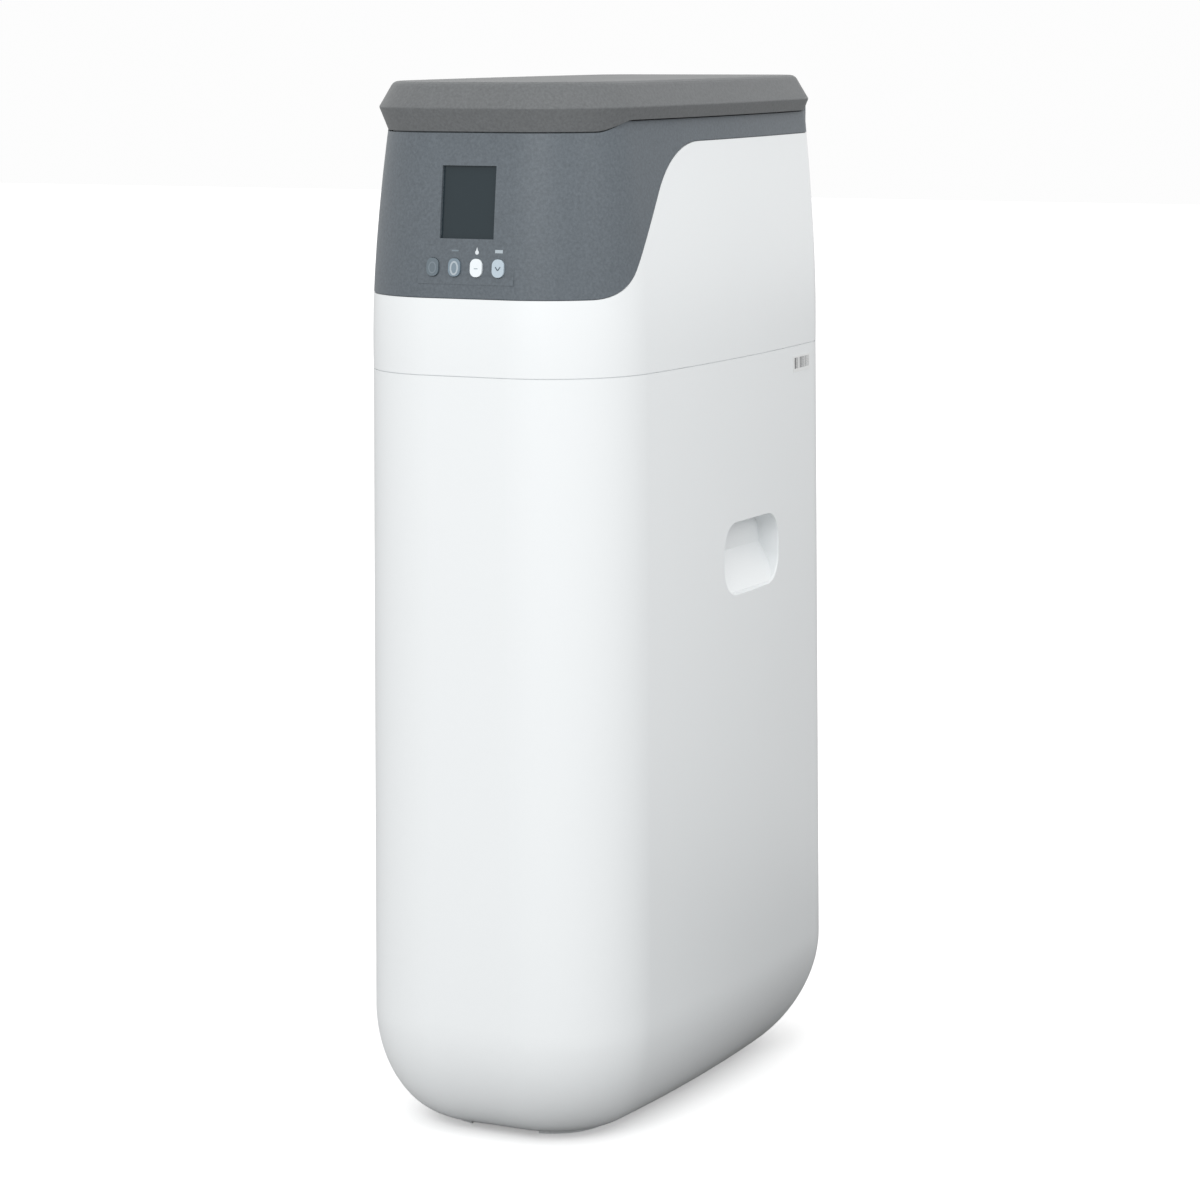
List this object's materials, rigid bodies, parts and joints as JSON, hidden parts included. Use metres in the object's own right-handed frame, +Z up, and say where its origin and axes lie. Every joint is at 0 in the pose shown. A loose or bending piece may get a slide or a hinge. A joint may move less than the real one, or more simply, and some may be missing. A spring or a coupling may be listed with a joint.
{
  "type": "cabinet water softener",
  "caption": "Tall cabinet water softener: brine tank with hand grips, shroud and hooded lid, display and keys, resin vessel, rotary valve, bypass and brine well.",
  "frame": {"origin": "on the floor, at the middle of the overall footprint", "axes": "+Z up, the display looks along -Y, +X to the right seen from the front"},
  "size_m": [0.345, 0.6374, 1.14],
  "materials": {
    "white_shell": "gloss",
    "grey_shell": "fine grain",
    "dark_glass": "gloss",
    "key_white": "satin",
    "board_green": "satin",
    "steel": "brushed",
    "rubber": "matte",
    "vessel_wrap": "wound fibre",
    "resin": "beads",
    "gravel": "rough",
    "pipe_white": "satin",
    "valve_black": "satin",
    "ceramic": "polished",
    "gear_white": "satin",
    "knob_blue": "satin",
    "knob_red": "satin",
    "tube_milky": "satin",
    "float_white": "foam",
    "label": "printed film"
  },
  "bodies": {
    "cabinet": {"cabinet_tank": "white_shell", "upper_shroud": "white_shell", "upper_hood": "grey_shell", "hinge_pins": "steel", "lid_bumpers": "rubber", "display_lens": "dark_glass", "display_module": "dark_glass", "control_board": "board_green", "board_screws": "steel", "key_switches": "valve_black", "resin_vessel": "vessel_wrap", "vessel_boot": "rubber", "riser_tube": "pipe_white", "lower_strainer": "pipe_white", "upper_strainer": "pipe_white", "gravel_bed": "gravel", "resin_bed": "resin", "valve_body": "valve_black", "fixed_disc": "ceramic", "valve_bonnet": "valve_black", "motor_plate": "steel", "gear_motor": "steel", "valve_cover": "valve_black", "bypass_body": "valve_black", "port_clips": "pipe_white", "inlet_adapter": "valve_black", "outlet_adapter": "valve_black", "union_nuts": "valve_black", "meter_cage": "pipe_white", "brine_fitting": "pipe_white", "brine_tube": "tube_milky", "drain_fitting": "valve_black", "brine_well": "pipe_white", "brine_valve": "pipe_white", "dip_tube": "tube_milky", "air_check": "pipe_white", "salt_grid": "pipe_white", "overflow_elbow": "pipe_white", "overflow_nut": "pipe_white", "power_socket": "valve_black", "shroud_screws": "steel", "stock_label": "label"},
    "lid_body": {"lid": "grey_shell", "lid_liner": "grey_shell"},
    "key_one": {"key_1": "key_white"},
    "key_two": {"key_2": "key_white"},
    "key_three": {"key_3": "key_white"},
    "key_four": {"key_4": "key_white"},
    "valve_rotor": {"rotor_disc": "ceramic", "rotor_shaft": "steel", "drive_gear": "gear_white"},
    "pinion": {"motor_pinion": "gear_white"},
    "turbine": {"turbine_wheel": "gear_white"},
    "inlet_stop": {"inlet_plug": "valve_black", "inlet_knob": "knob_blue"},
    "outlet_stop": {"outlet_plug": "valve_black", "outlet_knob": "knob_red"},
    "float_body": {"brine_float": "float_white"},
    "cap_body": {"well_cap": "pipe_white"}
  },
  "joints": [
    {"name": "lid_hinge", "type": "hinge", "parent": "cabinet", "child": "lid_body", "pos_m": [0, 0.28975, 1.1036], "axis": [-1, 0, 0], "range_deg": [0, 95]},
    {"name": "key_one_press", "type": "slide", "parent": "cabinet", "child": "key_one", "axis": [0, 0.994, -0.1094], "range_m": [0, 0.0008], "stiffness_N_per_m": 1500},
    {"name": "key_two_press", "type": "slide", "parent": "cabinet", "child": "key_two", "axis": [0, 0.994, -0.1094], "range_m": [0, 0.0008], "stiffness_N_per_m": 1500},
    {"name": "key_three_press", "type": "slide", "parent": "cabinet", "child": "key_three", "axis": [0, 0.994, -0.1094], "range_m": [0, 0.0008], "stiffness_N_per_m": 1500},
    {"name": "key_four_press", "type": "slide", "parent": "cabinet", "child": "key_four", "axis": [0, 0.994, -0.1094], "range_m": [0, 0.0008], "stiffness_N_per_m": 1500},
    {"name": "valve_spin", "type": "hinge", "parent": "cabinet", "child": "valve_rotor", "pos_m": [0, 0.15675, 0.952], "axis": [0, 0, 1], "continuous": true},
    {"name": "pinion_spin", "type": "hinge", "parent": "cabinet", "child": "pinion", "pos_m": [0, 0.11175, 0.952], "axis": [0, 0, 1], "continuous": true},
    {"name": "turbine_spin", "type": "hinge", "parent": "cabinet", "child": "turbine", "pos_m": [-0.04, 0.20675, 0.952], "axis": [0, 1, 0], "continuous": true},
    {"name": "inlet_turn", "type": "hinge", "parent": "cabinet", "child": "inlet_stop", "pos_m": [0.04, 0.26275, 0.952], "axis": [0, 0, 1], "range_deg": [0, 90]},
    {"name": "outlet_turn", "type": "hinge", "parent": "cabinet", "child": "outlet_stop", "pos_m": [-0.04, 0.26275, 0.952], "axis": [0, 0, 1], "range_deg": [0, 90]},
    {"name": "float_rise", "type": "slide", "parent": "cabinet", "child": "float_body", "axis": [0, 0, 1], "range_m": [0, 0.014]},
    {"name": "cap_lift", "type": "slide", "parent": "cabinet", "child": "cap_body", "axis": [0, 0, 1], "range_m": [0, 0.06]}
  ],
  "couplings": [
    {"joint": "pinion_spin", "follows": "valve_spin", "ratio": -4}
  ]
}
